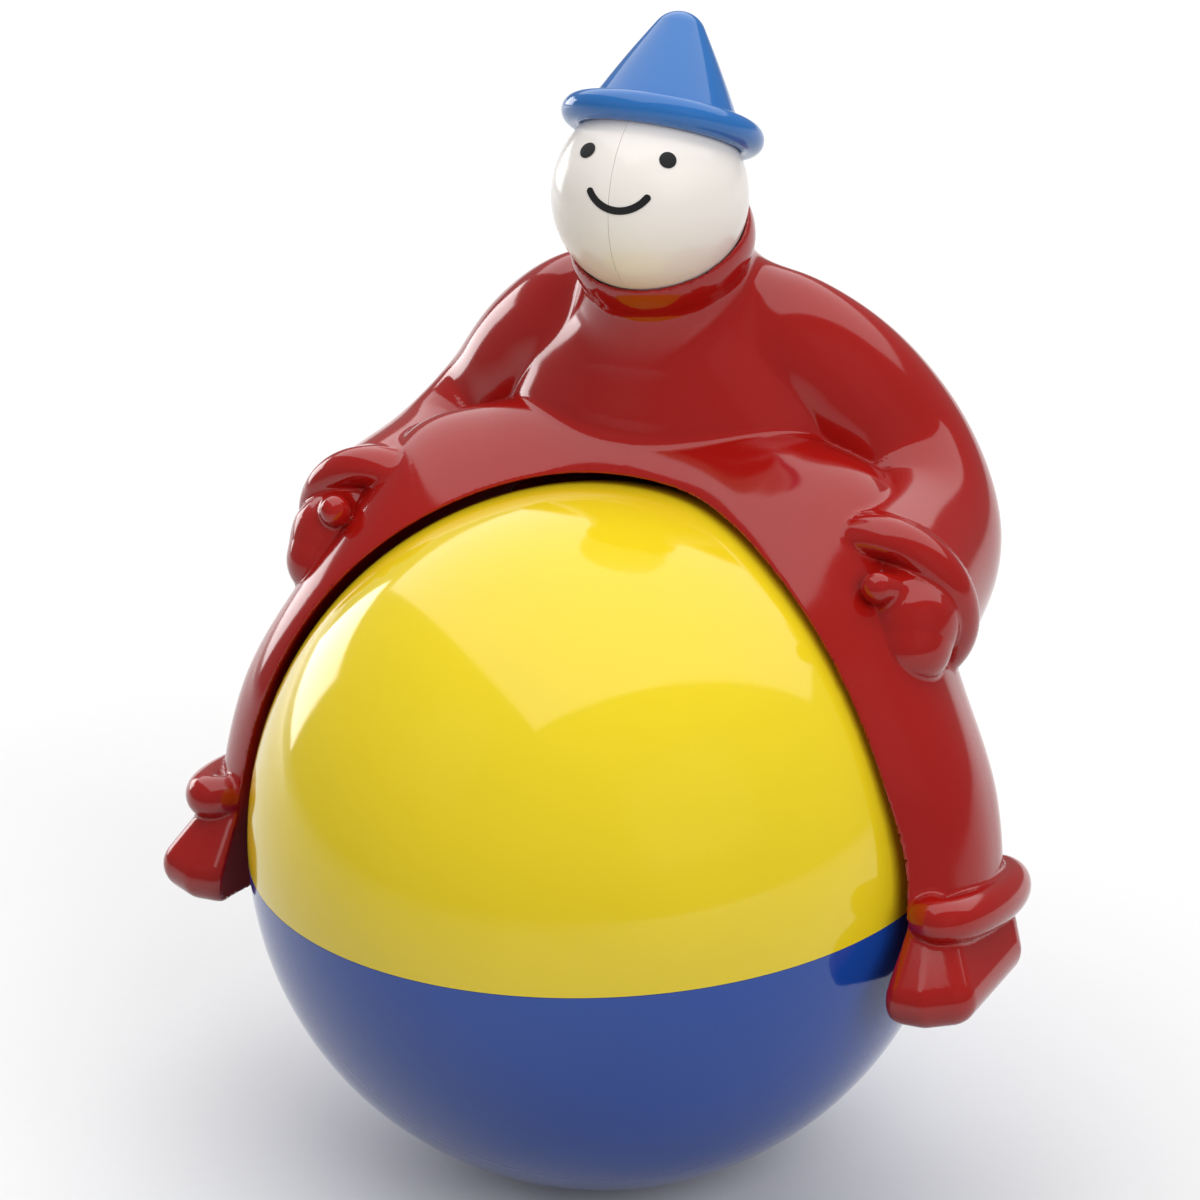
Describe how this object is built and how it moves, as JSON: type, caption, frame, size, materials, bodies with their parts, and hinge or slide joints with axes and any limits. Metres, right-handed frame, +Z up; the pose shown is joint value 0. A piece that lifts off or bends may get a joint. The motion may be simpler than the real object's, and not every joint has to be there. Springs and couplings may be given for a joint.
{
  "type": "roly poly toy",
  "caption": "Glossy moulded roly poly toy: a ball weighted low inside with a figure in a pointed hat astride it, pivoting at the ankles; the head turns in its collar.",
  "frame": {"origin": "centre of the small flat that the ball stands on", "axes": "+Z up through the centre of the ball, -Y the way the figure faces, +X through its left-hand ankle pivot, which is at the picture's right"},
  "size_m": [0.1498, 0.1245, 0.1924],
  "materials": {
    "yellow_abs": "polished moulded ABS, bright yellow",
    "blue_abs": "polished moulded ABS, deep blue",
    "hat_blue_abs": "polished moulded ABS, mid blue",
    "red_abs": "polished moulded ABS, red",
    "ivory_abs": "polished moulded ABS, warm white",
    "black_ink": "pad-printed black ink",
    "acetal": "natural turned acetal",
    "zinc_steel": "bright zinc plated steel",
    "cast_iron": "as cast, dark"
  },
  "bodies": {
    "ball": {"ball_upper_shell": "yellow_abs", "ball_lower_shell": "blue_abs", "ballast_weight": "cast_iron", "ballast_washer": "zinc_steel", "ballast_screw": "zinc_steel", "bush_left": "acetal", "bush_right": "acetal"},
    "rider": {"rider_left_half": "red_abs", "rider_right_half": "red_abs", "ankle_pin_left": "zinc_steel", "ankle_pin_right": "zinc_steel", "neck_bush": "acetal", "seam_pegs": "red_abs"},
    "head": {"head_left_half": "ivory_abs", "head_right_half": "ivory_abs", "neck_stud": "acetal", "hat": "hat_blue_abs", "eye_prints": "black_ink", "mouth_print": "black_ink"}
  },
  "joints": [
    {"name": "rider_swing", "type": "hinge", "parent": "ball", "child": "rider", "pos_m": [0, 0, 0.05946], "axis": [1, 0, 0], "range_deg": [-90, 125]},
    {"name": "head_turn", "type": "hinge", "parent": "rider", "child": "head", "pos_m": [0, 0.0282, 0.16422], "axis": [0, -0.4226, 0.9063], "range_deg": [-40, 40]}
  ]
}
